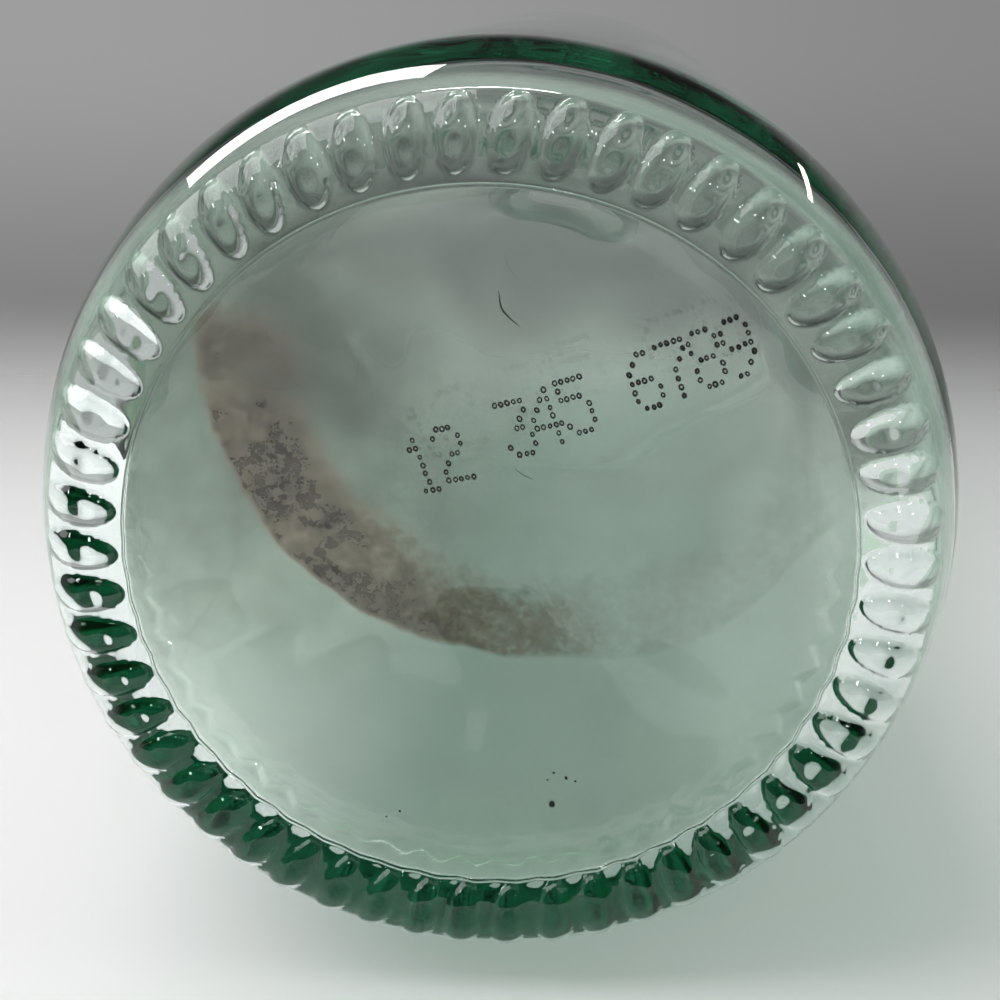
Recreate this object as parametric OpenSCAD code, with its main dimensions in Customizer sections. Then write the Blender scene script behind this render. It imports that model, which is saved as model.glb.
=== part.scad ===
// Soda bottle of green glass, blown in one piece: a knurled heel that it stands on, a shallow push-up,
// a straight body, a round shoulder, a long neck and a crown finish round its mouth.
// It stands upright. The origin is on its axis, level with the lowest points of the knurls.

/* [Body] */
// Outside diameter of the straight body
body_d = 61; // [58:0.5:66]
// Overall height
bottle_h = 236; // [228:1:260]
// Thickness of the side wall
wall_t = 3.1; // [2.5:0.1:3.8]
// Height at which the body turns in to the shoulder
shoulder_z = 112; // [95:1:118]

/* [Base] */
// Diameter of the ring that the bottle stands on
bearing_d = 49.4; // [48:0.2:51]
// Radius of the rounding of that ring
bearing_round = 3.6; // [3.2:0.1:4]
// Height of the heel, from the standing ring to the straight body
heel_h = 14; // [12:0.5:18]
// Distance from the ring's lowest line in to the parting line that the mould's bottom plate leaves
plate_in = 2.1; // [1.6:0.1:2.6]
// Rise of the middle of the base above the worn tips of the knurls
push_up = 3.2; // [2.6:0.1:4.6]
// Radius of the fine bead that stands along the parting line
seam_r = 0.16; // [0.1:0.02:0.3]
// Thickness of the glass at the middle of the base
base_t = 5; // [4:0.2:7]
// Radius of the inside corner between the wall and the floor
floor_round = 4; // [3:0.5:9]
// Height by which the floor's middle stands above its edge, inside
floor_crown = 1.8; // [1:0.1:2.6]

/* [Knurls] */
// Number of knurls round the standing ring
knurl_count = 54; // [40:1:60]
// Diameter of a knurl's round section
knurl_w = 2; // [1.6:0.1:2.2]
// Rise of a knurl above the ring, at its middle
knurl_rise = 0.55; // [0.35:0.05:0.7]
// Half of the arc that a knurl covers, in degrees round the section of the ring
knurl_arc = 47; // [40:1:50]
// Turn of a knurl's middle outwards from the lowest line of the ring, in degrees
knurl_turn = 18; // [10:1:22]
// Lean of a knurl from the radial direction, in degrees
knurl_lean = 6; // [0:1:12]
// Depth of the flat that standing wears on a knurl
knurl_wear = 0.05; // [0.02:0.01:0.1]

/* [Neck] */
// Radius of the shoulder's outward round
shoulder_round = 36; // [30:1:40]
// Radius of the inward sweep from the shoulder to the neck
neck_sweep = 60; // [50:1:70]
// Outside diameter at the foot of the neck
neck_d = 28; // [27:0.5:31]
// Outside diameter at the top of the neck, under the bead
neck_top_d = 25.6; // [25:0.2:27]

/* [Finish] */
// Diameter of the straight mouth
mouth_d = 16; // [15:0.2:17]
// Depth of the straight mouth, below its rounded edge
mouth_len = 18; // [12:1:24]
// Radius of the rounding at the mouth's edge
mouth_round = 1; // [0.6:0.1:1.2]
// Diameter of the lip that a crown cap is crimped on
lip_d = 26.6; // [26.2:0.1:27]
// Radius of the lip's upper edge
lip_round = 2.2; // [1.8:0.1:2.6]
// Height of the lip's straight band
lip_band = 1.6; // [1.2:0.1:2]
// Diameter of the groove between the lip and the bead
groove_d = 24.2; // [23.6:0.1:24.8]
// Height of the slope under the lip
lip_slope = 1.6; // [1.2:0.1:2.2]
// Diameter of the bead below the groove
bead_d = 28.8; // [28:0.1:30]
// Distance from the top of the bottle down to the middle of the bead
bead_drop = 16; // [14:0.5:18]
// Half the height of the bead
bead_half = 2.6; // [2:0.1:3]

/* [Hidden] */
$fn = 96;

glass_green = [0.62, 0.78, 0.70, 0.45];
body_r = body_d / 2;
bearing_r = bearing_d / 2;
plate_r = bearing_r - plate_in;
neck_r = neck_d / 2;
neck_top_r = neck_top_d / 2;
mouth_r = mouth_d / 2;
lip_r = lip_d / 2;
groove_r = groove_d / 2;
bead_r = bead_d / 2;
bore_r = body_r - wall_t;

// A knurl is part of a small ring, sunk in the rounding so that it comes out over the arc it covers.
knurl_reach = bearing_round + knurl_rise;
knurl_sink = (knurl_reach ^ 2 - bearing_round ^ 2) / (2 * (knurl_reach - bearing_round * cos(knurl_arc)));
knurl_spine = knurl_reach - knurl_sink - knurl_w / 2;

// The knurls' lowest points, less the wear, are level with the origin.
ring_z = knurl_reach - knurl_sink * (1 - cos(knurl_turn)) - knurl_wear;

// The ring's rounding is a circle that the heel's larger arc touches from outside.
heel_dx = body_r - bearing_r;
heel_dz = heel_h - ring_z;
heel_round = (heel_dx ^ 2 + heel_dz ^ 2 - bearing_round ^ 2) / (2 * (heel_dx - bearing_round));
heel_start = atan2(ring_z - heel_h, bearing_r - body_r + heel_round);
heel_foot_in = 0.08;

// The shoulder's outward arc and the neck's inward arc touch where this angle points.
shoulder_x = body_r - shoulder_round;
sweep_x = neck_r + neck_sweep;
sweep_z = shoulder_z + sqrt((shoulder_round + neck_sweep) ^ 2 - (sweep_x - shoulder_x) ^ 2);
touch_angle = atan2(sweep_z - shoulder_z, sweep_x - shoulder_x);
bead_z = bottle_h - bead_drop;

// The parting line lies on the ring's rounding, where the base plate of the mould met it.
plate_z = ring_z - sqrt(bearing_round ^ 2 - plate_in ^ 2);

// The base plate and the floor are shallow domes: a radius from the half width and the rise.
function dome_radius(half, rise) = (half ^ 2 + rise ^ 2) / (2 * rise);
plate_dome = dome_radius(plate_r, push_up - plate_z);
floor_edge_r = bore_r - floor_round;
floor_z = push_up + base_t;
floor_dome = dome_radius(floor_edge_r, floor_crown);

// Points along an arc about [x, z], from one angle to another.
function arc(x, z, r, from, to, steps) =
    [for (i = [0:steps]) let (a = from + (to - from) * i / steps) [x + r * cos(a), z + r * sin(a)]];

// Outside of the body from the heel up to the neck, and the same curve set in by a wall.
function side(inset) = concat(
    arc(shoulder_x, shoulder_z, shoulder_round - inset, 0, touch_angle, 14),
    arc(sweep_x, sweep_z, neck_sweep + inset, 180 + touch_angle, 180, 14));

function finish() = concat(
    [[neck_top_r, bead_z - bead_half - 1]],
    [for (a = [-90:15:90]) [groove_r + (bead_r - groove_r) * cos(a), bead_z + bead_half * sin(a)]],
    [[groove_r, bottle_h - lip_round - lip_band - lip_slope]],
    [[lip_r, bottle_h - lip_round - lip_band]],
    arc(lip_r - lip_round, bottle_h - lip_round, lip_round, 0, 90, 8));

// The solid outline of the glass, as if it were not hollow. The base plate's dome is taken out of it,
// and then the ring's true circle and the bead on the parting line are added.
module outline() {
    heel = arc(body_r - heel_round, heel_h, heel_round, heel_start, 0, 9);
    // The heel starts a little inside the ring's circle, below the place where the two arcs touch.
    foot = [bearing_r, ring_z] + (bearing_round - heel_foot_in) * [cos(heel_start), sin(heel_start)];
    difference() {
        polygon(concat(
            [[0, plate_z], [plate_r, plate_z], [bearing_r, ring_z], foot],
            [for (i = [1:len(heel) - 1]) heel[i]],
            side(0), finish(), [[0, bottle_h]]));
        intersection() {
            translate([0, push_up - plate_dome]) circle(r = plate_dome, $fn = 360);
            square([plate_r, push_up]);
        }
    }
    translate([bearing_r, ring_z]) circle(r = bearing_round);
    translate([plate_r, plate_z]) circle(r = seam_r, $fn = 24);
}

// The hollow, from the floor to above the mouth.
module hollow() {
    mouth_z = bottle_h - mouth_round;
    difference() {
        polygon(concat(
            [[0, 0]],
            arc(floor_edge_r, floor_z - floor_crown + floor_round, floor_round, -90, 0, 9),
            side(wall_t),
            [[mouth_r, mouth_z - mouth_len]],
            arc(mouth_r + mouth_round, mouth_z, mouth_round, 180, 90, 5),
            [[mouth_r + mouth_round, bottle_h + 1], [0, bottle_h + 1]]));
        translate([0, floor_z - floor_dome]) circle(r = floor_dome, $fn = 360);
    }
}

// One knurl: half of the small ring, turned outwards round the rounding's middle, and leaning a little.
module knurl() {
    translate([bearing_r, 0, ring_z])
        rotate([0, -knurl_turn, 0])
            translate([0, 0, -knurl_sink])
                rotate([0, 0, knurl_lean])
                    rotate([90, 0, 0])
                        rotate([0, 0, 180])
                            rotate_extrude(angle = 180)
                                translate([knurl_spine, 0]) circle(d = knurl_w, $fn = 32);
}

module glass_bottle() {
    color(glass_green)
        difference() {
            union() {
                rotate_extrude() difference() {
                    outline();
                    hollow();
                }
                for (i = [0:knurl_count - 1]) rotate([0, 0, i * 360 / knurl_count]) knurl();
            }
            // Standing wears every knurl to the same plane.
            translate([0, 0, -knurl_reach]) cylinder(r = body_r, h = knurl_reach);
        }
}

glass_bottle();
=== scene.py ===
import bpy
import bmesh
import math
import random
from mathutils import Matrix, Vector, noise


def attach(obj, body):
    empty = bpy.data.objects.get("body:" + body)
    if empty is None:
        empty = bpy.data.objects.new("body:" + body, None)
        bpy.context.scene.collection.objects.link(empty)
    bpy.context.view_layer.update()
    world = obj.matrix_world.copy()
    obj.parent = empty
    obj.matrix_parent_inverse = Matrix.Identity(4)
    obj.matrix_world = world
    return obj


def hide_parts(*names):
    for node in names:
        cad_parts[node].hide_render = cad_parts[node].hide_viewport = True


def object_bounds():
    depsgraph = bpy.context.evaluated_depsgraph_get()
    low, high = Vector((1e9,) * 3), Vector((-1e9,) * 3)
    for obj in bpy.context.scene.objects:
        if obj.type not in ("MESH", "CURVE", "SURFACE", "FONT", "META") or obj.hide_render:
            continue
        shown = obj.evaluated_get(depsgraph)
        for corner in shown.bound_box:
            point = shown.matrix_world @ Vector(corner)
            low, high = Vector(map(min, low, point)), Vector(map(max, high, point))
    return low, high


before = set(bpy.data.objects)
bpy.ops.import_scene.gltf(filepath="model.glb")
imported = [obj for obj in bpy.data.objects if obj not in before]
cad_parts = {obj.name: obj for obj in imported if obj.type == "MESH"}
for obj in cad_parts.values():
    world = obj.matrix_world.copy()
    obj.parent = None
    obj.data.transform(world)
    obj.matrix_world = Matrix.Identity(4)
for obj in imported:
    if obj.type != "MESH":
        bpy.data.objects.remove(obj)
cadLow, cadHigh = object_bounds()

mm = 0.001
print("frame loaded:", [round(v / mm, 1) for v in (*cadLow, *cadHigh)], "mm")

# the bottle, in millimetres; the width and the height come from the frame
glass = {
    "bodyRadius": (cadHigh.x - cadLow.x) / 2 / mm,
    "height": (cadHigh.z - cadLow.z) / mm,
    "wall": 3.1,
    "shoulderHeight": 112,
    "shoulderRound": 36,
    "neckSweep": 60,
    "neckRadius": 14,
    "neckTopRadius": 12.8,
    "bearingRadius": 24.7,
    "bearingRound": 3.6,
    "bearingHeight": 4.04,    # height of the middle of the ring's rounding
    "heelHeight": 14,
    "plateRadius": 22.6,      # the line that the mould's bottom plate leaves
    "seamBead": 0.10,
    "seamGap": 1,             # degrees of the ring between the bead on that line and the next row
    "pushUp": 3.2,
    "baseThickness": 5,
    "floorRound": 4.6,
    "floorCrown": 3.4,
    "lipRadius": 13.3,
    "lipRound": 2.2,
    "lipBand": 1.6,
    "lipSlope": 1.6,
    "grooveRadius": 12.1,
    "grooveCorner": [(0.15, 0.3), (0, 1)],     # soft corners: out from the radius, and up
    "slopeCorner": [(0, -0.5), (0.2, 0)],
    "lipCorner": [(-0.25, -0.3), (0, 0.2)],
    "beadRadius": 14.4,
    "beadDrop": 16,
    "beadHalf": 2.6,
    "beadArc": 72,            # degrees up and down from its middle
    "neckSwell": (0.35, 14),  # how much wider the neck is, this far below the bead
    "neckUnderBead": 1,
    "mouthRadius": 8,
    "mouthLength": 18,
    "mouthRound": 1,
    "mouthFlare": (1.1, 20),  # how much wider the neck is inside, this far below the mouth
    "sideSeamTurn": 148,      # degrees round the axis to the first side seam
    "sideSeamWidth": 1.2,     # degrees
    "sideSeamHeight": 0.03,
    "sideSeamTop": 22,        # how far below the top of the bottle it ends
}

# how fine the faces are
faces = {
    "turn": 192,              # round each half of the bottle
    "sideSeam": 4,
    "shoulder": 8,            # along each stretch of the outline
    "plateMiddle": 7,
    "plateEdge": 8,
    "plateEdgeWidth": 1,      # millimetres inside the land's edge
    "seamBead": 4,
    "ring": 22,
    "heel": 6,
    "body": 7,
    "beadStep": 18,           # degrees
    "lip": 7,
    "mouth": 5,
    "bore": 8,
    "floorCorner": 9,
    "floor": 9,
    "fineHeight": 3.6,        # twice as fine below this height and outside this radius, for the knurls
    "fineRadius": 20.6,
    "weld": 0.004,            # millimetres between points that are the same
}

knurls = {
    "count": 54,
    "width": 2.3,
    "rise": 0.55,
    "inwardArc": 30,          # degrees round the ring's section, from its lowest line
    "inwardShift": 5,         # how much this grows towards +Y, as the plate sits a little off the middle
    "outwardArc": 56,
    "lean": 6,                # degrees from the radial direction
    "innerEnd": 2.6,          # 2 gives a round end, more gives a fuller one
    "outerEnd": 1.5,
    "topRound": 1.9,          # the same for the section
    "steepness": 0.7,         # 0.5 for an upright edge, 1 for a soft one
    "leanSpread": 2.5,        # each knurl's own difference, in degrees
    "shiftSpread": 0.12,
    "widthShare": (0.94, 1.04),
    "seed": 11,
    "highest": 7,             # no knurl reaches above this
    "offRing": 0.05,          # what is farther from the ring's rounding isn't part of it
}

# the flat land inside the parting line, on the side towards +Y
land = {
    "radius": 21.3,           # its inner edge
    "wave": 0.42,             # how far the ends of the knurls push this edge in and out
    "endShare": (0.6, 1.15),  # how much of that each knurl has
    "slope": 0.17,
    "inside": 1,              # how far inside that edge and outside the parting line glass is moved
    "outside": 0.4,
    "highest": 3,
    "sideFade": 4,            # it fades away over this distance to both sides of the axis, on Y
    "seamWave": 0.09,         # how far the parting line wanders
    "seamReach": (0.1, 0.4),  # and how far from it this is felt
    "seed": 5,
}

# how far the glass wanders from the true form, in millimetres
unevenness = {
    "outside": 0.03,
    "heel": 0.035,
    "insideWall": 0.16,
    "insideFloor": 0.2,
    "wave": (0.35, 0.07),     # broad waves: how dense along the bottle, and how many to a millimetre
    "fine": (0.6, 0.22),      # finer ones
    "fineFrom": (7, 3, 1),
    "ripple": 0.45,
    "waveShare": 1.5,
    "fineShare": (0.3, 0.4),  # on the wall, and what the floor has on top
    "floorEnd": (26, 14),     # where the floor's unevenness ends, and over how much height
    "mouthTrue": (19, 20),    # this much at the top is left true inside, and the height that it fades over
    "finishTrue": 24,         # this much at the top is left true outside
    "ringTrue": (6, 6),       # and this much at the bottom, with the height that it fades over
    "rippleAt": (10, 4),      # height of the heel's ripple, and half its width
}


def arc(x, z, radius, start, end, steps):
    # points along an arc, from one angle in degrees to another
    return [(x + radius * math.cos(math.radians(start + (end - start) * i / steps)),
             z + radius * math.sin(math.radians(start + (end - start) * i / steps)))
            for i in range(steps + 1)]


def domeRadius(half, rise):
    return (half ** 2 + rise ** 2) / (2 * rise)


def sideCurve(inset):
    # shoulder and neck sweep, as the outside or set in by the wall
    g = glass
    shoulderX = g["bodyRadius"] - g["shoulderRound"]
    sweepX = g["neckRadius"] + g["neckSweep"]
    reach = g["shoulderRound"] + g["neckSweep"]
    sweepZ = g["shoulderHeight"] + math.sqrt(reach ** 2 - (sweepX - shoulderX) ** 2)
    touch = math.degrees(math.atan2(sweepZ - g["shoulderHeight"], sweepX - shoulderX))
    return (arc(shoulderX, g["shoulderHeight"], g["shoulderRound"] - inset, 0, touch, faces["shoulder"])
            + arc(sweepX, sweepZ, g["neckSweep"] + inset, 180 + touch, 180, faces["shoulder"])[1:])


def climb(points, z, steps):
    # points up or down a straight wall, from the last point to a height, for the waves in it
    r, start = points[-1]
    return [(r, start + (z - start) * i / steps) for i in range(1, steps)]


def outsideProfile():
    g = glass
    # the parting line lies on the ring's rounding, as a fine bead
    plateIn = math.asin((g["bearingRadius"] - g["plateRadius"]) / g["bearingRound"])
    plateHeight = g["bearingHeight"] - g["bearingRound"] * math.cos(plateIn)
    dome = domeRadius(g["plateRadius"], g["pushUp"] - plateHeight)
    edge = math.degrees(math.asin((g["plateRadius"] - g["seamBead"]) / dome))
    finer = math.degrees(math.asin((land["radius"] - faces["plateEdgeWidth"]) / dome))
    points = arc(0, g["pushUp"] - dome, dome, 90, 90 - finer, faces["plateMiddle"])
    points += arc(0, g["pushUp"] - dome, dome, 90 - finer, 90 - edge, faces["plateEdge"])[1:]
    points += arc(g["plateRadius"], plateHeight, g["seamBead"], 190, 330, faces["seamBead"])
    ringStart = 270 - math.degrees(plateIn) + math.degrees(g["seamBead"] / g["bearingRound"]) + g["seamGap"]
    # the heel's larger arc touches the ring's rounding from outside
    dx = g["bodyRadius"] - g["bearingRadius"]
    dz = g["heelHeight"] - g["bearingHeight"]
    heel = (dx ** 2 + dz ** 2 - g["bearingRound"] ** 2) / (2 * (dx - g["bearingRound"]))
    heelX = g["bodyRadius"] - heel
    start = math.degrees(math.atan2(-dz, g["bearingRadius"] - heelX))
    points += arc(g["bearingRadius"], g["bearingHeight"], g["bearingRound"],
                  ringStart, 360 + start, faces["ring"])
    points += arc(heelX, g["heelHeight"], heel, start, 0, faces["heel"])[1:]
    points += climb(points, g["shoulderHeight"], faces["body"])
    points += sideCurve(0)
    top = g["height"]
    bead = top - g["beadDrop"]
    wider, below = g["neckSwell"]
    points += [(g["neckTopRadius"] + wider, bead - g["beadHalf"] - below),
               (g["neckTopRadius"], bead - g["beadHalf"] - g["neckUnderBead"])]
    for turn in range(-g["beadArc"], g["beadArc"] + 1, faces["beadStep"]):
        out = (g["beadRadius"] - g["grooveRadius"]) * math.cos(math.radians(turn))
        points.append((g["grooveRadius"] + out, bead + g["beadHalf"] * math.sin(math.radians(turn))))
    lipFoot = top - g["lipRound"] - g["lipBand"]
    for radius, height, corner in [(g["grooveRadius"], bead + g["beadHalf"], g["grooveCorner"]),
                                   (g["grooveRadius"], lipFoot - g["lipSlope"], g["slopeCorner"]),
                                   (g["lipRadius"], lipFoot, g["lipCorner"])]:
        points += [(radius + out, height + up) for out, up in corner]
    points += arc(g["lipRadius"] - g["lipRound"], top - g["lipRound"], g["lipRound"], 0, 90, faces["lip"])
    return points


def insideProfile():
    # from the mouth's edge down to the middle of the floor
    g = glass
    mouthZ = g["height"] - g["mouthRound"]
    points = arc(g["mouthRadius"] + g["mouthRound"], mouthZ, g["mouthRound"], 90, 180, faces["mouth"])
    wider, below = g["mouthFlare"]
    points += [(g["mouthRadius"], mouthZ - g["mouthLength"] / 2),
               (g["mouthRadius"], mouthZ - g["mouthLength"]),
               (g["mouthRadius"] + wider, mouthZ - g["mouthLength"] - below)]
    points += sideCurve(g["wall"])[::-1]
    bore = g["bodyRadius"] - g["wall"]
    edge = bore - g["floorRound"]
    floorZ = g["pushUp"] + g["baseThickness"]
    cornerZ = floorZ - g["floorCrown"] + g["floorRound"]
    points += climb(points, cornerZ, faces["bore"])
    points += arc(edge, cornerZ, g["floorRound"], 0, -90, faces["floorCorner"])
    dome = domeRadius(edge, g["floorCrown"])
    half = math.degrees(math.asin(edge / dome))
    points += arc(0, floorZ - dome, dome, 90 - half, 90, faces["floor"])[1:]
    return points


def knurlChances():
    # each knurl's own lean, shift and width, as a mould that was cut by hand leaves them
    k = knurls
    chance = random.Random(k["seed"])
    return [(math.radians(k["lean"] + chance.uniform(-k["leanSpread"], k["leanSpread"])),
             chance.uniform(-k["shiftSpread"], k["shiftSpread"]),
             k["width"] / 2 * chance.uniform(*k["widthShare"])) for i in range(k["count"])]


def knurlHeight(turn, section, chances):
    # how far the knurls stand out of the ring's rounding at a place: turn in degrees round the axis,
    # section in degrees round the rounding, from its lowest line outwards
    k = knurls
    pitch = 360 / k["count"]
    nearest = round(turn / pitch)
    lean, shift, half = chances[nearest % k["count"]]
    inward = k["inwardArc"] + k["inwardShift"] * math.sin(math.radians(turn))
    middle = (k["outwardArc"] - inward) / 2
    off = section - middle
    along = glass["bearingRound"] * math.radians(off)
    radius = glass["bearingRadius"] + glass["bearingRound"] * math.sin(math.radians(section))
    across = math.radians(turn - nearest * pitch) * radius - along * math.sin(lean) + shift
    # a knurl is as wide as its share of the ring, so it widens a little outwards
    half *= radius / glass["bearingRadius"]
    end = abs(off) / (k["outwardArc"] - middle)
    left = 1 - end ** (k["innerEnd"] if off < 0 else k["outerEnd"]) - abs(across / half) ** k["topRound"]
    return k["rise"] * left ** k["steepness"] if left > 0 else 0


def shapeKnurls(bm):
    ringZ, ringR = glass["bearingHeight"], glass["bearingRadius"]
    chances = knurlChances()
    inner = bm.verts.layers.int["inner"]
    for v in bm.verts:
        x, y, z = v.co / mm
        r = math.hypot(x, y)
        offRing = abs(math.hypot(r - ringR, z - ringZ) - glass["bearingRound"])
        if v[inner] or z > knurls["highest"] or offRing > knurls["offRing"]:
            continue
        section = math.degrees(math.atan2(r - ringR, ringZ - z))
        turn = math.degrees(math.atan2(y, x)) % 360
        out = knurlHeight(turn, section, chances)
        if out <= 0:
            continue
        dr, dz = math.sin(math.radians(section)), -math.cos(math.radians(section))
        r, z = r + dr * out, z + dz * out
        flat = math.atan2(y, x)
        v.co = Vector((r * math.cos(flat), r * math.sin(flat), max(z, 0))) * mm


def softStep(value, start, end):
    t = min(max((value - start) / (end - start), 0), 1)
    return t * t * (3 - 2 * t)


def shapeLand(bm):
    # on one side the base plate's dome ends in a small step with a wavy edge, where the knurls run out
    plate = glass["plateRadius"]
    inner = bm.verts.layers.int["inner"]
    chance = random.Random(land["seed"])
    ends = [chance.uniform(*land["endShare"]) for i in range(knurls["count"] + 1)]
    landHeight = min(v.co.z for v in bm.verts
                     if math.hypot(v.co.x, v.co.y) < (plate - 2 * glass["seamBead"]) * mm)
    for v in bm.verts:
        r = math.hypot(v.co.x, v.co.y) / mm
        if (v[inner] or v.co.z > land["highest"] * mm
                or r < land["radius"] - land["inside"] or r > plate + land["outside"]):
            continue
        # a triangle wave, with its ends between the knurls
        phase = math.degrees(math.atan2(v.co.y, v.co.x)) % 360 / (360 / knurls["count"]) + 0.25
        wave = (abs(phase % 1 - 0.5) * 4 - 1) * ends[int(phase)]
        side = softStep(v.co.y / mm, -land["sideFade"], land["sideFade"])
        if r < plate - glass["seamBead"]:
            edge = land["radius"] + land["wave"] * wave
            step = softStep(r, edge - land["slope"], edge + land["slope"])
            v.co.z += (landHeight - v.co.z) * step * side
        # the parting line wanders a little with the knurls
        close = 1 - softStep(abs(r - plate), *land["seamReach"])
        push = 1 + land["seamWave"] * wave * close * side / r
        v.co.x *= push
        v.co.y *= push


def shapeUnevenness(bm):
    u = unevenness
    waveStretch, waveScale = u["wave"]
    fineStretch, fineScale = u["fine"]
    onWall, onFloor = u["fineShare"]
    floorEnd, floorFade = u["floorEnd"]
    mouthTrue, mouthFade = u["mouthTrue"]
    ringTrue, ringFade = u["ringTrue"]
    rippleAt, rippleHalf = u["rippleAt"]
    bm.normal_update()
    inner = bm.verts.layers.int["inner"]
    for v in bm.verts:
        p = v.co / mm
        wave = noise.noise(Vector((p.x, p.y, p.z * waveStretch)) * waveScale)
        fine = noise.noise(Vector((p.x, p.y, p.z * fineStretch)) * fineScale + Vector(u["fineFrom"]))
        if v[inner]:
            low = min(max((floorEnd - p.z) / floorFade, 0), 1)
            high = min(max((glass["height"] - mouthTrue - p.z) / mouthFade, 0), 1)
            depth = u["insideWall"] + (u["insideFloor"] - u["insideWall"]) * low
            v.co += v.normal * (wave * u["waveShare"] + fine * (onWall + onFloor * low)) * depth * high * mm
        elif ringTrue < p.z < glass["height"] - u["finishTrue"]:
            ripple = noise.noise(p * u["ripple"]) * u["heel"] * max(1 - abs(p.z - rippleAt) / rippleHalf, 0)
            # outside the glass only goes in, so that the bottle keeps its width
            inwards = min(wave, 0) * u["outside"] * min((p.z - ringTrue) / ringFade, 1)
            v.co += v.normal * (inwards - abs(ripple)) * mm


def addPiece(name, bm, smooth=True):
    # a finished mesh becomes an object in the scene
    mesh = bpy.data.meshes.new(name)
    bm.to_mesh(mesh)
    bm.free()
    if smooth:
        mesh.shade_smooth()
    piece = bpy.data.objects.new(name, mesh)
    bpy.context.collection.objects.link(piece)
    return piece


def raiseSideSeams(bm):
    # two seams, up the body and the neck
    g = glass
    inner = bm.verts.layers.int["inner"]
    for v in bm.verts:
        p = v.co / mm
        turn = (math.degrees(math.atan2(p.y, p.x)) - g["sideSeamTurn"] - g["sideSeamWidth"] / 2) % 180
        near = min(turn, 180 - turn) < g["sideSeamWidth"] / faces["sideSeam"] / 2
        if near and v[inner] == 0 and g["bearingHeight"] < p.z < g["height"] - g["sideSeamTop"]:
            push = 1 + g["sideSeamHeight"] / math.hypot(p.x, p.y)
            v.co.x *= push
            v.co.y *= push


def buildBottle():
    g = glass
    bm = bmesh.new()
    inner = bm.verts.layers.int.new("inner")
    outside, inside = outsideProfile(), insideProfile()
    start = math.radians(g["sideSeamTurn"])
    verts = [bm.verts.new((r * math.cos(start) * mm, r * math.sin(start) * mm, z * mm))
             for r, z in outside + inside]
    for v in verts[len(outside):]:
        v[inner] = 1
    edges = [bm.edges.new(pair) for pair in zip(verts, verts[1:])]
    geom = verts + edges
    # half of the bottle with one side seam, and then the same again for the other half
    narrow = math.radians(g["sideSeamWidth"])
    for angle, steps in [(narrow, faces["sideSeam"]), (math.pi - narrow, faces["turn"])]:
        geom = bmesh.ops.spin(bm, geom=geom, cent=(0, 0, 0), axis=(0, 0, 1), dvec=(0, 0, 0),
                              angle=angle, space=Matrix(), steps=steps, use_merge=False,
                              use_normal_flip=False, use_duplicate=False)["geom_last"]
    other = bmesh.ops.duplicate(bm, geom=bm.verts[:] + bm.edges[:] + bm.faces[:])["geom"]
    bmesh.ops.rotate(bm, verts=[v for v in other if isinstance(v, bmesh.types.BMVert)], cent=(0, 0, 0),
                     matrix=Matrix.Rotation(math.pi, 3, "Z"))
    bmesh.ops.remove_doubles(bm, verts=bm.verts, dist=faces["weld"] * mm)
    # finer faces where the knurls stand
    ring = [e for e in bm.edges
            if all(v[inner] == 0 and v.co.z < faces["fineHeight"] * mm
                   and math.hypot(v.co.x, v.co.y) > faces["fineRadius"] * mm for v in e.verts)]
    bmesh.ops.subdivide_edges(bm, edges=ring, cuts=1, use_grid_fill=True)
    shapeKnurls(bm)
    shapeLand(bm)
    raiseSideSeams(bm)
    bmesh.ops.recalc_face_normals(bm, faces=bm.faces)
    shapeUnevenness(bm)
    return addPiece("glassBottle", bm)


bottle = buildBottle()
print("bottle:", sum(len(f.vertices) - 2 for f in bottle.data.polygons), "triangles")


# the camera's place before the base, in millimetres and in the picture's own directions
shot = {
    "right": 7.1,             # of the bottle's axis
    "above": 33.2,
    "before": 90.0,           # the plane that the bottle stands on
    "tilt": 17.9,             # degrees down
    "pan": -3.9,              # degrees to the right
    "focus": 1586,            # focal length in pixels
    "frame": 1000,            # and the frame's width
    "sensor": 36,
    "nearest": 0.001,         # metres
    "farthest": 20,
}


def placeCamera():
    s = shot
    data = bpy.data.cameras.new("camera")
    data.sensor_width = s["sensor"]
    data.lens = s["focus"] / s["frame"] * s["sensor"]
    data.clip_start = s["nearest"]
    data.clip_end = s["farthest"]
    camera = bpy.data.objects.new("camera", data)
    bpy.context.collection.objects.link(camera)
    tilt, pan = math.radians(s["tilt"]), math.radians(s["pan"])
    # the picture's up is -Y, and it looks along +Z
    forward = Vector((math.sin(pan) * math.cos(tilt), math.sin(tilt), math.cos(pan) * math.cos(tilt)))
    right = forward.cross(Vector((0, -1, 0))).normalized()
    up = right.cross(forward)
    turn = Matrix((right, up, -forward)).transposed().to_4x4()
    place = Vector((s["right"], -s["above"], -s["before"])) * mm
    camera.matrix_world = Matrix.Translation(place) @ turn
    bpy.context.scene.camera = camera


placeCamera()
print("camera placed")


def nodesOf(material):
    material.use_nodes = True
    tree = material.node_tree
    tree.nodes.clear()
    return tree, tree.nodes.new("ShaderNodeOutputMaterial")


def feed(tree, socket, value):
    # another node's output is linked to the socket, and a plain value is set on it
    if hasattr(value, "is_output"):
        tree.links.new(value, socket)
    else:
        socket.default_value = value


def calc(tree, operation, *values):
    n = tree.nodes.new("ShaderNodeMath")
    n.operation = operation
    for socket, value in zip(n.inputs, values):
        feed(tree, socket, value)
    return n.outputs[0]


def fade(tree, value, start, end, low=0.0, high=1.0):
    # soft step: low before start, high after end
    n = tree.nodes.new("ShaderNodeMapRange")
    n.interpolation_type = "SMOOTHSTEP"
    for name, v in [("Value", value), ("From Min", start), ("From Max", end),
                    ("To Min", low), ("To Max", high)]:
        feed(tree, n.inputs[name], v)
    return n.outputs[0]


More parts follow.
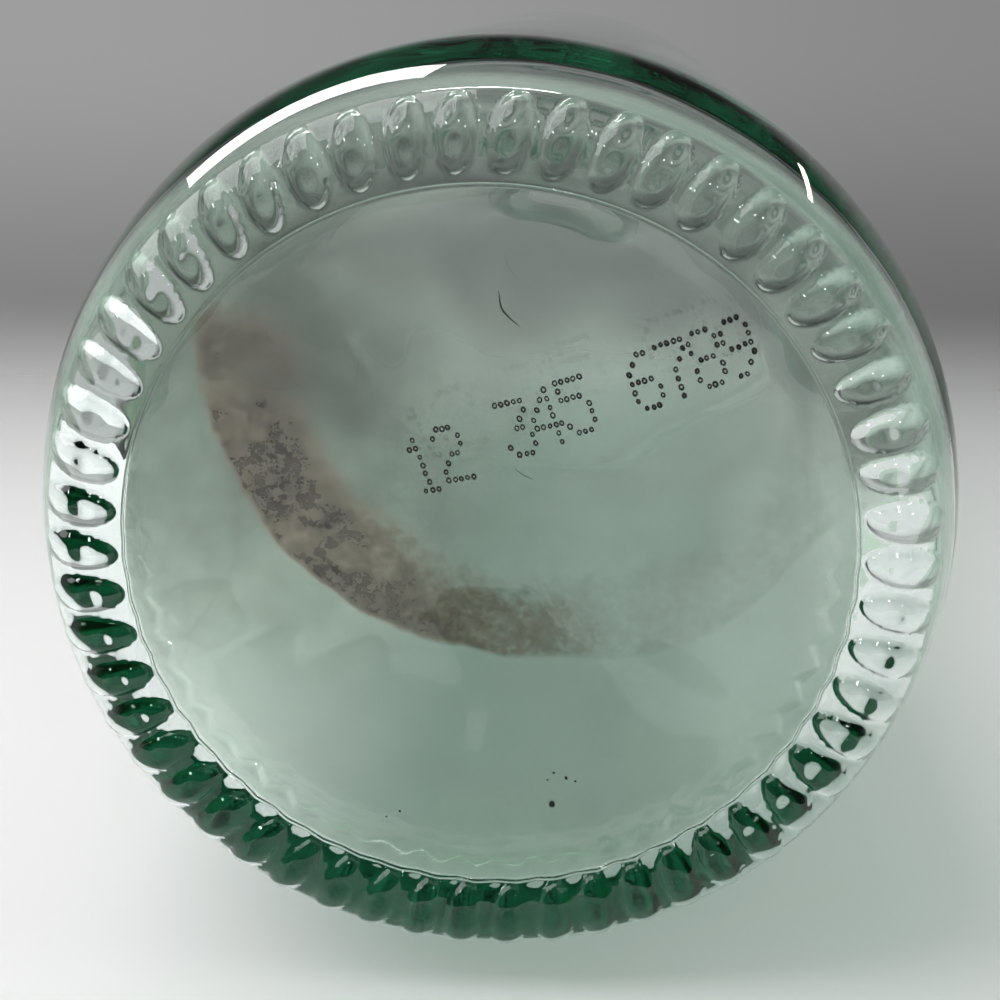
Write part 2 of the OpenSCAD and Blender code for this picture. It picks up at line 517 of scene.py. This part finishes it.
def objectPlace(tree, centre=(0, 0, 0), scale=(1, 1, 1)):
    # the surface's own place, measured from a centre
    coords = tree.nodes.new("ShaderNodeTexCoord")
    mapping = tree.nodes.new("ShaderNodeMapping")
    mapping.inputs["Location"].default_value = [-c * s for c, s in zip(centre, scale)]
    mapping.inputs["Scale"].default_value = scale
    tree.links.new(coords.outputs["Object"], mapping.inputs["Vector"])
    return mapping.outputs[0]


def split(tree, vector):
    n = tree.nodes.new("ShaderNodeSeparateXYZ")
    tree.links.new(vector, n.inputs[0])
    return n.outputs


def lengthOf(tree, vector):
    n = tree.nodes.new("ShaderNodeVectorMath")
    n.operation = "LENGTH"
    tree.links.new(vector, n.inputs[0])
    return n.outputs["Value"]


def noiseOf(tree, vector, size, detail=2.0, roughness=0.5):
    # size is that of the largest blobs, in metres
    n = tree.nodes.new("ShaderNodeTexNoise")
    feed(tree, n.inputs["Vector"], vector)
    n.inputs["Scale"].default_value = 1 / size
    n.inputs["Detail"].default_value = detail
    n.inputs["Roughness"].default_value = roughness
    return n.outputs[0]


def blots(tree, vector, size, detail, roughness, start, end, least=0.0):
    # noise with softened edges, from what is left between the blots up to 1
    return fade(tree, noiseOf(tree, vector, size, detail, roughness), start, end, least, 1)


def blend(tree, share, first, second):
    # one colour goes over into another
    n = tree.nodes.new("ShaderNodeMix")
    n.data_type = "RGBA"
    for i, value in [(0, share), (6, first), (7, second)]:
        feed(tree, n.inputs[i], value)
    return n.outputs[2]


def clearShader(tree, colour=(1, 1, 1, 1)):
    n = tree.nodes.new("ShaderNodeBsdfTransparent")
    feed(tree, n.inputs[0], colour)
    return n.outputs[0]


def mixShaders(tree, share, first, second):
    n = tree.nodes.new("ShaderNodeMixShader")
    for i, value in enumerate([share, first, second]):
        feed(tree, n.inputs[i], value)
    return n.outputs[0]


finish = {
    "ior": 1.52,
    "absorbed": (0.36, 0.80, 0.66, 1),   # what is left of white light in thick glass
    "density": 21,
    "passed": (0.95, 0.985, 0.965, 1),   # what one side of the glass lets through of a lamp's light
    "peel": 0.00001,                     # depth of the fine unevenness of the surface, in metres
    "peelSize": 0.008,
    "peelStrength": 0.6,
}


def glassMaterial():
    f = finish
    m = bpy.data.materials.new("greenGlass")
    tree, out = nodesOf(m)
    bump = tree.nodes.new("ShaderNodeBump")
    bump.inputs["Strength"].default_value = f["peelStrength"]
    bump.inputs["Distance"].default_value = f["peel"]
    tree.links.new(noiseOf(tree, objectPlace(tree), f["peelSize"], 0), bump.inputs["Height"])
    shader = tree.nodes.new("ShaderNodeBsdfPrincipled")
    shader.inputs["Roughness"].default_value = 0
    tree.links.new(bump.outputs[0], shader.inputs["Normal"])
    shader.inputs["Base Color"].default_value = (1, 1, 1, 1)
    shader.inputs["IOR"].default_value = f["ior"]
    shader.inputs["Transmission Weight"].default_value = 1
    # a lamp's light goes straight through, for a pale shadow
    straight = tree.nodes.new("ShaderNodeLightPath").outputs["Is Shadow Ray"]
    surface = mixShaders(tree, straight, shader.outputs[0], clearShader(tree, f["passed"]))
    tree.links.new(surface, out.inputs["Surface"])
    absorb = tree.nodes.new("ShaderNodeVolumeAbsorption")
    absorb.inputs["Color"].default_value = f["absorbed"]
    absorb.inputs["Density"].default_value = f["density"]
    tree.links.new(absorb.outputs[0], out.inputs["Volume"])
    return m


bottle.data.materials.append(glassMaterial())
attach(bottle, "root")
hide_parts("glass_bottle")

# a sheet just over the floor inside, in metres: a brown crescent, thin dust, and painted shade that darkens
# and greens the view through the base towards the left
film = {
    "gap": 0.00004,
    "top": 0.011,
    "reach": 0.0262,                  # how far out from the axis it goes
    "reachFade": 0.003,
    "centre": (0.0035, -0.0125, 0),   # middle of the round that the brown crescent follows
    "radius": 0.0212,
    "width": 0.0070,
    "darkest": (0.001, 0.002),        # this far inside the radius, and this far to both sides
    "sharpEdge": 0.0009,
    "wander": 0.004,
    "wanderBlots": (0.012, 3, 0.6),   # size, detail and roughness
    "upperEnd": (-0.019, -0.011),     # where the crescent comes up, on the own Y
    "rightEnd": (0.012, -0.008),      # and on the own X, where less of it is left to the right
    "rightShare": 0.25,
    # blots: size, detail, roughness, where they start and end, and what is left between them
    "patches": (0.006, 3, 0.6, 0.3, 0.6, 0.62),
    "grain": (0.0007, 4, 0.8, 0.35, 0.6, 0.72),
    "dustAndPaintedShadeBlots": (0.009, 3, 0.6, 0.35, 0.75, 0.55),
    "toneBlots": (0.0025, 4, 0.7, 0.3, 0.7),
    "dustAndPaintedShade": 0.14,                     # least cover: thin dust over all of the floor, which is also a little painted shade
    "paintedShade": 0.78,                     # cover where the painted shade is thickest: a dark green-grey veil that stands in for the shade of the thick glass
    # middle, reach and core of the painted shade
    "paintedShadeCentre": (-0.0125, -0.0055, 0),
    "paintedShadeReach": 0.021,
    "paintedShadeCore": 0.003,
    "tintCore": 0.006,
    "dark": (0.010, 0.007, 0.003, 1),
    "light": (0.07, 0.05, 0.025, 1),
    # colour of the dust and of the painted shade
    "dustAndPaintedShadeColour": (0.075, 0.09, 0.05, 1),
    "brownFrom": (0.1, 0.4),          # cover at which the colour of the dust and painted shade goes over into the brown ones
    "thinTint": (0.90, 1, 0.91, 1),   # painted shade: green on the light that passes where the shade is thin
    "tint": (0.72, 0.88, 0.73, 1),    # and darker green where it is thick
    "brownTint": (0.85, 0.68, 0.46, 1),
    "tintFrom": (0.2, 0.75),
    "roughness": 0.8,
    "specular": 0.1,
}


def crescentCover(tree, place):
    f = film
    away = lengthOf(tree, objectPlace(tree, f["centre"], (1, 1, 0)))
    wander = calc(tree, "SUBTRACT", noiseOf(tree, place, *f["wanderBlots"]), 0.5)
    away = calc(tree, "ADD", away, calc(tree, "MULTIPLY", wander, f["wander"]))
    inside, core = f["darkest"]
    off = calc(tree, "ABSOLUTE", calc(tree, "SUBTRACT", away, f["radius"] - inside))
    x, y = split(tree, place)[:2]
    cover = fade(tree, off, f["width"], core)
    for share in [fade(tree, away, f["radius"] + f["sharpEdge"], f["radius"]),    # nearly sharp outside
                  fade(tree, y, *f["upperEnd"]),
                  fade(tree, x, *f["rightEnd"], f["rightShare"], 1),
                  blots(tree, place, *f["patches"]),
                  blots(tree, place, *f["grain"])]:
        cover = calc(tree, "MULTIPLY", cover, share)
    return cover


def filmMaterial():
    f = film
    m = bpy.data.materials.new("filmWithPaintedShade")
    tree, out = nodesOf(m)
    place = objectPlace(tree)
    brown = crescentCover(tree, place)
    # painted shade: a darker, greener cover round its centre, thinning to the dust's cover far away
    near = lengthOf(tree, objectPlace(tree, f["paintedShadeCentre"], (1, 1, 0)))
    paintedShade = fade(tree, near, f["paintedShadeReach"], f["paintedShadeCore"], f["dustAndPaintedShade"], f["paintedShade"])
    dustAndPaintedShade = calc(tree, "MULTIPLY", blots(tree, place, *f["dustAndPaintedShadeBlots"]), paintedShade)
    cover = calc(tree, "MAXIMUM", brown, dustAndPaintedShade)
    edge = lengthOf(tree, objectPlace(tree, (0, 0, 0), (1, 1, 0)))
    cover = calc(tree, "MULTIPLY", cover, fade(tree, edge, f["reach"], f["reach"] - f["reachFade"]))
    brownTone = blend(tree, blots(tree, place, *f["toneBlots"]), f["dark"], f["light"])
    shader = tree.nodes.new("ShaderNodeBsdfPrincipled")
    tree.links.new(blend(tree, fade(tree, brown, *f["brownFrom"]), f["dustAndPaintedShadeColour"], brownTone),
                   shader.inputs["Base Color"])
    shader.inputs["Roughness"].default_value = f["roughness"]
    shader.inputs["Specular IOR Level"].default_value = f["specular"]
    # painted shade on the light that passes: greener where the shade is thick, brown under the crescent
    tint = blend(tree, fade(tree, near, f["paintedShadeReach"], f["tintCore"]), f["thinTint"], f["tint"])
    tint = blend(tree, fade(tree, brown, *f["tintFrom"]), tint, f["brownTint"])
    surface = mixShaders(tree, cover, clearShader(tree, tint), shader.outputs[0])
    tree.links.new(surface, out.inputs["Surface"])
    return m


def buildFilm():
    # the bottle's own inside faces low down, lifted a little off the glass
    f = film
    bm = bmesh.new()
    bm.from_mesh(bottle.data)
    inner = bm.verts.layers.int["inner"]
    reach = f["reach"] + mm
    rest = [v for v in bm.verts
            if not (v[inner] and v.co.z < f["top"] and math.hypot(v.co.x, v.co.y) < reach)]
    bmesh.ops.delete(bm, geom=rest, context="VERTS")
    for v in bm.verts:
        v.co += v.normal * f["gap"]
    piece = addPiece("filmWithPaintedShade", bm)
    piece.data.materials.append(filmMaterial())
    return piece


# a sheet over the floor inside with a brown crescent, thin dust and painted shade
filmWithPaintedShade = buildFilm()
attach(filmWithPaintedShade, "root")
print("film with painted shade:", len(filmWithPaintedShade.data.polygons), "faces")

# plain digits that a dot printer set on the base, read in the camera's picture
code = {
    "groups": ["12", "345", "6789"],
    "groupStart": [0, 6.3, 14.6],    # millimetres along the line
    "start": (-4.2, 3.5),            # foot of the first digit: right and up from the bottle's axis
    "lineTurn": 22.5,                # degrees by which the line rises to the right
    "rowTurn": (9, 25),              # the same for the rows of the first and of the last digit
    "lean": 20,                      # degrees by which the columns lean
    "digitPitch": 1.95,
    "columnPitch": 0.39,
    "rowPitch": 0.57,
    "dotWidth": 0.34,
    "dotHeight": 0.42,
    "dotThickness": 0.02,
    "gap": 0.004,                    # between the ink and the glass
    "holes": (0.42, 0.30, 0.12),     # width of the hole in each kind of drop, as a share of the drop's
    "wetFrom": 0.6,                  # share of the line from which the drops are the fuller ones
    "dotSides": 5,
    "dotSteps": 10,
    "scatter": 0.03,
    "sizeShare": (0.88, 1.12),
    "dotTurn": 0.3,                  # radians to both sides
    "seed": 3,
}

digitDots = {
    "1": ("00100", "01100", "00100", "00100", "00100", "00100", "01110"),
    "2": ("01110", "10001", "00001", "00110", "01000", "10000", "11111"),
    "3": ("11111", "00001", "00010", "00110", "00001", "10001", "01110"),
    "4": ("00010", "00110", "01010", "10010", "11111", "00010", "00010"),
    "5": ("11111", "10000", "11110", "00001", "00001", "10001", "01110"),
    "6": ("00110", "01000", "10000", "11110", "10001", "10001", "01110"),
    "7": ("11111", "00001", "00010", "00100", "00100", "00100", "00100"),
    "8": ("01110", "10001", "10001", "01110", "10001", "10001", "01110"),
    "9": ("01110", "10001", "10001", "01111", "00001", "00010", "01100"),
}


def baseHeight(right, up):
    # height of the base plate's dome above the standing plane
    g = glass
    plateIn = g["bearingRadius"] - g["plateRadius"]
    plateHeight = g["bearingHeight"] - math.sqrt(g["bearingRound"] ** 2 - plateIn ** 2)
    dome = domeRadius(g["plateRadius"], g["pushUp"] - plateHeight)
    return g["pushUp"] - dome + math.sqrt(dome ** 2 - right ** 2 - up ** 2)


def onBase(right, up, below=0.0):
    # a place on the base as the camera's picture shows it, in the bottle's own axes
    return Vector((right, -up, baseHeight(right, up) - below)) * mm


def inkRing(hole):
    # one drop of ink: a small flat ring, thicker where its hole is smaller
    ring = bmesh.new()
    thick = (1 - hole) / 2
    made = bmesh.ops.create_circle(ring, segments=code["dotSides"], radius=thick / 2)
    upright = Matrix.Rotation(math.pi / 2, 3, "X")
    bmesh.ops.rotate(ring, verts=made["verts"], cent=(0, 0, 0), matrix=upright)
    bmesh.ops.translate(ring, verts=made["verts"], vec=((1 - thick) / 2, 0, 0))
    bmesh.ops.spin(ring, geom=ring.verts[:] + ring.edges[:], cent=(0, 0, 0), axis=(0, 0, 1),
                   dvec=(0, 0, 0), angle=2 * math.pi, space=Matrix(), steps=code["dotSteps"],
                   use_merge=True, use_normal_flip=False, use_duplicate=False)
    bmesh.ops.scale(ring, verts=ring.verts, vec=(1, 1, 1 / thick))
    bmesh.ops.recalc_face_normals(ring, faces=ring.faces)
    mesh = bpy.data.meshes.new("inkDrop")
    ring.to_mesh(mesh)
    ring.free()
    return mesh


def printDigit(bm, digit, foot, share, drops, chance):
    # one digit from its foot, which is right and up from the axis; share is how far along the line it is
    c = code
    lean = math.radians(c["lean"])
    rowTurn = math.radians(c["rowTurn"][0] + (c["rowTurn"][1] - c["rowTurn"][0]) * share)
    rows = digitDots[digit]
    for row, dots in enumerate(rows):
        for column, dot in enumerate(dots):
            if dot == "0":
                continue
            across = column * c["columnPitch"] + chance.uniform(-c["scatter"], c["scatter"])
            rise = (len(rows) - 1 - row) * c["rowPitch"] + chance.uniform(-c["scatter"], c["scatter"])
            right = foot[0] + across * math.cos(rowTurn) - rise * math.sin(lean)
            up = foot[1] + across * math.sin(rowTurn) + rise * math.cos(lean)
            size = chance.uniform(*c["sizeShare"])
            drop = chance.choice(drops[:2] if share < c["wetFrom"] else drops[1:])
            place = Matrix.Translation(onBase(right, up, c["gap"] + c["dotThickness"] / 2))
            turn = Matrix.Rotation(-lean + chance.uniform(-c["dotTurn"], c["dotTurn"]), 4, "Z")
            scale = Matrix.Diagonal((c["dotWidth"] * size * mm, c["dotHeight"] * size * mm,
                                     c["dotThickness"] * mm, 1))
            first = len(bm.verts)
            bm.from_mesh(drop)
            bm.verts.ensure_lookup_table()
            bmesh.ops.transform(bm, matrix=place @ turn @ scale, verts=bm.verts[first:])


def buildCode():
    c = code
    chance = random.Random(c["seed"])
    drops = [inkRing(hole) for hole in c["holes"]]
    bm = bmesh.new()
    lineTurn = math.radians(c["lineTurn"])
    places = [(digit, start + i * c["digitPitch"])
              for group, start in zip(c["groups"], c["groupStart"]) for i, digit in enumerate(group)]
    for number, (digit, along) in enumerate(places):
        foot = (c["start"][0] + along * math.cos(lineTurn), c["start"][1] + along * math.sin(lineTurn))
        printDigit(bm, digit, foot, number / (len(places) - 1), drops, chance)
    for drop in drops:
        bpy.data.meshes.remove(drop)
    return addPiece("printedCode", bm)


def coatMaterial(name, dark, light, size, roughness):
    # matt colour that varies in small blots, in parts smoother by a fifth
    m = bpy.data.materials.new(name)
    tree, out = nodesOf(m)
    place = objectPlace(tree)
    tone = blend(tree, blots(tree, place, size, 3, 0.6, 0.35, 0.65), dark, light)
    matt = fade(tree, noiseOf(tree, place, size * 2), 0.3, 0.7, roughness * 0.8, roughness)
    shader = tree.nodes.new("ShaderNodeBsdfPrincipled")
    tree.links.new(tone, shader.inputs["Base Color"])
    tree.links.new(matt, shader.inputs["Roughness"])
    tree.links.new(shader.outputs[0], out.inputs["Surface"])
    return m


# small coats: dark colour, light colour, size of their blots in metres, and roughness
coats = {
    "blackInk": ((0.006, 0.006, 0.006, 1), (0.02, 0.017, 0.014, 1), 0.0004, 0.6),
    "blackDirt": ((0.004, 0.005, 0.004, 1), (0.02, 0.02, 0.015, 1), 0.0003, 0.7),
    "oliveFibre": ((0.02, 0.028, 0.012, 1), (0.06, 0.075, 0.03, 1), 0.0006, 0.7),
}

printed = buildCode()
printed.data.materials.append(coatMaterial("blackInk", *coats["blackInk"]))
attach(printed, "root")
print("printed code:", len(printed.data.polygons), "faces")

# in millimetres, right and up from the axis as the camera's picture shows the base
dirt = {
    "specks": [(4.2, -17.2, 0.26), (5.1, -15.4, 0.14), (4.3, -15.1, 0.10), (5.7, -15.6, 0.09),
               (3.9, -15.6, 0.08), (-5.7, -18.0, 0.10), (-6.6, -18.4, 0.07)],    # with their radius
    "speckShape": (1, 0.75, 0.22),
    "speckDents": (0.25, 6),      # how deep, as a share of the radius, and how many to a millimetre
    "seed": 9,
    "fibres": [[(0.75, 16.3), (0.8, 15.4), (1.15, 14.8), (1.95, 14.15)],
               [(1.7, 5.1), (2.1, 4.7), (2.8, 4.45)]],
    "fibreRadius": [0.055, 0.03],
    "fibreEnd": 0.35,             # what is left of the radius at the ends
}


def buildSpecks():
    bm = bmesh.new()
    chance = random.Random(dirt["seed"])
    depth, scale = dirt["speckDents"]
    for right, up, radius in dirt["specks"]:
        # a speck's middle is a quarter of its radius below the glass
        place = Matrix.Translation(onBase(right, up, radius * 0.25))
        flat = Matrix.Diagonal((*dirt["speckShape"], 1))
        made = bmesh.ops.create_icosphere(bm, subdivisions=2, radius=radius * mm)["verts"]
        for v in made:
            v.co *= 1 + depth * noise.noise(v.co / mm * scale + Vector((right, up, 0)))
        turn = Matrix.Rotation(chance.uniform(0, 3), 4, "Z")
        bmesh.ops.transform(bm, matrix=place @ turn @ flat, verts=made)
    return addPiece("specks", bm)


def buildFibres():
    # short fibres that stick to the base, thin at their ends
    curve = bpy.data.curves.new("fibres", "CURVE")
    curve.dimensions = "3D"
    curve.bevel_depth = mm
    curve.bevel_resolution = 2
    curve.use_fill_caps = True
    for points, radius in zip(dirt["fibres"], dirt["fibreRadius"]):
        spline = curve.splines.new("NURBS")
        spline.points.add(len(points) - 1)
        for i, (right, up) in enumerate(points):
            # a little off the glass, which is curved between the points
            spline.points[i].co = (*onBase(right, up, radius * 1.4), 1)
            spline.points[i].radius = radius * (dirt["fibreEnd"] if i in (0, len(points) - 1) else 1)
        spline.order_u = 3
        spline.use_endpoint_u = True
    fibres = bpy.data.objects.new("fibres", curve)
    bpy.context.collection.objects.link(fibres)
    return fibres


for piece, coat in [(buildSpecks(), "blackDirt"), (buildFibres(), "oliveFibre")]:
    piece.data.materials.append(coatMaterial(coat, *coats[coat]))
    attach(piece, "root")
print("specks and fibres on the base")

# floor and wall, in metres
stage = {
    "floorTone": 0.78,
    "floorGlow": 0.22,        # keeps it pale from every side
    "floorHalf": 3,
    "floorFade": (0.25, 1.1), # from the axis, where the floor goes over into the backdrop
    "sheetGap": 0.0001,
    "wallTone": 0.80,
    "wallGap": 0.0001,        # between the bottle and the wall
    "wallHalfWidth": 0.6,
    "wallStart": -0.13,       # along the bottle, from the plane that it stands on
    "wallEnd": 0.25,
    "wallFade": 0.03,         # where the wall starts to go over into the backdrop
}


def stageMaterial(name, tone, glow, clearness):
    # matt surface that glows a little; clearness says where it is clear
    m = bpy.data.materials.new(name)
    tree, out = nodesOf(m)
    shader = tree.nodes.new("ShaderNodeBsdfDiffuse")
    shader.inputs[0].default_value = (tone, tone, tone, 1)
    emit = tree.nodes.new("ShaderNodeEmission")
    emit.inputs["Strength"].default_value = glow
    both = tree.nodes.new("ShaderNodeAddShader")
    tree.links.new(shader.outputs[0], both.inputs[0])
    tree.links.new(emit.outputs[0], both.inputs[1])
    m.cycles.emission_sampling = "NONE"
    surface = mixShaders(tree, clearness(tree), both.outputs[0], clearShader(tree))
    tree.links.new(surface, out.inputs["Surface"])
    return m


def floorClearness(tree):
    # clear from below, far out, and to a ray that has come up through both sheets before
    below = tree.nodes.new("ShaderNodeNewGeometry").outputs["Backfacing"]
    path = tree.nodes.new("ShaderNodeLightPath")
    cameUp = calc(tree, "GREATER_THAN", path.outputs["Transparent Depth"], 1.5)
    bent = calc(tree, "SUBTRACT", 1, path.outputs["Is Camera Ray"])
    far = fade(tree, lengthOf(tree, objectPlace(tree)), *stage["floorFade"])
    clear = calc(tree, "MAXIMUM", below, far)
    return calc(tree, "MAXIMUM", clear, calc(tree, "MULTIPLY", cameUp, bent))


def wallClearness(tree):
    # clear from behind, and more and more so towards the far edge
    behind = tree.nodes.new("ShaderNodeNewGeometry").outputs["Backfacing"]
    along = split(tree, objectPlace(tree))["Z"]
    return calc(tree, "MAXIMUM", behind, fade(tree, along, stage["wallFade"], stage["wallEnd"]))


def buildStage():
    s = stage
    floor = bmesh.new()
    # two sheets, so that a ray from below is told from one that has only come through the wall
    for height in (0, -s["sheetGap"]):
        bmesh.ops.create_grid(floor, x_segments=1, y_segments=1, size=s["floorHalf"],
                              matrix=Matrix.Translation((0, 0, height)))
    # the wall stands upright beside the bottle and faces -Y
    wall = bmesh.new()
    bmesh.ops.create_grid(wall, x_segments=1, y_segments=1, size=1)
    halfHeight = (s["wallEnd"] - s["wallStart"]) / 2
    upright = Matrix.Rotation(math.pi / 2, 3, "X")
    bmesh.ops.scale(wall, verts=wall.verts, vec=(s["wallHalfWidth"], halfHeight, 1))
    bmesh.ops.rotate(wall, verts=wall.verts, cent=(0, 0, 0), matrix=upright)
    bmesh.ops.translate(wall, verts=wall.verts,
                        vec=(0, cadHigh.y + s["wallGap"], s["wallStart"] + halfHeight))
    for name, bm, tone, glow, clearness in [
            ("floor", floor, s["floorTone"], s["floorGlow"], floorClearness),
            ("paleWall", wall, s["wallTone"], 0, wallClearness)]:
        piece = addPiece(name, bm, smooth=False)
        piece.data.materials.append(stageMaterial(name, tone, glow, clearness))
        piece.visible_shadow = False
        piece.visible_diffuse = False


buildStage()
print("stage: floor and wall")

# the room's light by direction, where up is -Y and ahead is +Z, as the picture sees them;
# each fade goes from one height of the direction to another, from -1 to 1
room = {
    "ahead": 0.34,
    "aheadLow": 0.22,             # ahead, just above the far edge of the wall
    "lowFade": (-0.20, -0.03),
    "behind": 0.10,               # what is left of the light behind the camera
    "behindFade": (-0.6, 0.2),
    "darkAbove": 0.12,            # ahead and high up
    "highFade": (0.05, 0.35),
    "farFade": (0.2, 0.45),
    "rightShade": 0.72,           # on the right
    "rightFade": (-0.35, 0.3),
    "standing": 0.50,             # all round at the height of a standing bottle
    "standingFade": (0.42, 0.15),
}


def buildWorld():
    r = room
    world = bpy.data.worlds.new("studio")
    bpy.context.scene.world = world
    world.use_nodes = True
    tree = world.node_tree
    tree.nodes.clear()
    out = tree.nodes.new("ShaderNodeOutputWorld")
    back = tree.nodes.new("ShaderNodeBackground")
    x, y, z = split(tree, tree.nodes.new("ShaderNodeTexCoord").outputs["Generated"])[:3]
    up = calc(tree, "MULTIPLY", y, -1)
    dark = calc(tree, "MULTIPLY", fade(tree, up, *r["highFade"]), fade(tree, z, *r["farFade"]))
    light = fade(tree, z, *r["behindFade"], r["behind"], 1)
    for share in [fade(tree, up, *r["lowFade"], r["aheadLow"], r["ahead"]),
                  fade(tree, dark, 0, 1, 1, r["darkAbove"]),
                  fade(tree, x, *r["rightFade"], 1, r["rightShade"])]:
        light = calc(tree, "MULTIPLY", light, share)
    # a standing bottle has an even, pale horizon, and the camera sees the same below it
    level = fade(tree, calc(tree, "ABSOLUTE", z), *r["standingFade"])
    seen = tree.nodes.new("ShaderNodeLightPath").outputs["Is Camera Ray"]
    below = calc(tree, "MULTIPLY", seen, fade(tree, z, *r["standingFade"]))
    level = calc(tree, "MAXIMUM", level, below)
    light = calc(tree, "MULTIPLY", light, calc(tree, "SUBTRACT", 1, level))
    light = calc(tree, "ADD", light, calc(tree, "MULTIPLY", level, r["standing"]))
    feed(tree, back.inputs["Color"], light)
    tree.links.new(back.outputs[0], out.inputs["Surface"])
    world.cycles.sampling_method = "NONE"


buildWorld()
print("room light")

# lamps, in metres: place, aim, size, watts and colour
white = (1, 1, 1)
lamps = {
    "softKey": ((-0.45, -0.62, 0.0), (0, 0, 0.03), (0.9, 0.7), 6.0, white),
    "skyLeft": ((-0.33, -0.42, 0.60), (0, 0, 0.02), (0.45, 0.10), 1.0, white),
    "warmSide": ((0.42, -0.30, 0.62), (0, 0, 0.02), (0.012, 0.20), 0.1, (1, 0.86, 0.66)),
    "frontLeft": ((-0.45, -0.45, -0.35), (0, 0, 0), (0.03, 0.12), 0.4, white),
    "frontTop": ((0.10, -0.50, -0.45), (0, 0, 0), (0.05, 0.05), 0.3, white),
    "topLine": ((-0.05, -0.75, 0.40), (0, 0, 0), (0.30, 0.03), 1.0, white),
    "frontRight": ((0.40, -0.35, -0.45), (0, 0, 0), (0.04, 0.04), 0.2, white),
}


def addLamp(name, place, aim, size, power, colour):
    # it lights and shows in reflections, but isn't seen by the camera or through the glass
    data = bpy.data.lights.new(name, "AREA")
    data.shape = "RECTANGLE"
    data.size, data.size_y = size
    data.energy = power
    data.color = colour
    lamp = bpy.data.objects.new(name, data)
    lamp.visible_transmission = False
    lamp.visible_camera = False
    bpy.context.collection.objects.link(lamp)
    lamp.location = place
    lamp.rotation_euler = (Vector(aim) - Vector(place)).to_track_quat("-Z", "Y").to_euler()


for name, settings in lamps.items():
    addLamp(name, *settings)
print("lamps:", len(lamps))

cycles = bpy.context.scene.cycles
cycles.use_light_tree = False
cycles.caustics_reflective = False
cycles.caustics_refractive = False
cycles.sample_clamp_indirect = 4
cycles.adaptive_threshold = 0.15      # the plain parts of the picture are done sooner
cycles.diffuse_bounces = 1
cycles.max_bounces = 100              # light runs far along the wall of the glass
cycles.transmission_bounces = 100
cycles.glossy_bounces = 60
cycles.transparent_max_bounces = 60
bpy.context.scene.view_settings.view_transform = "Standard"
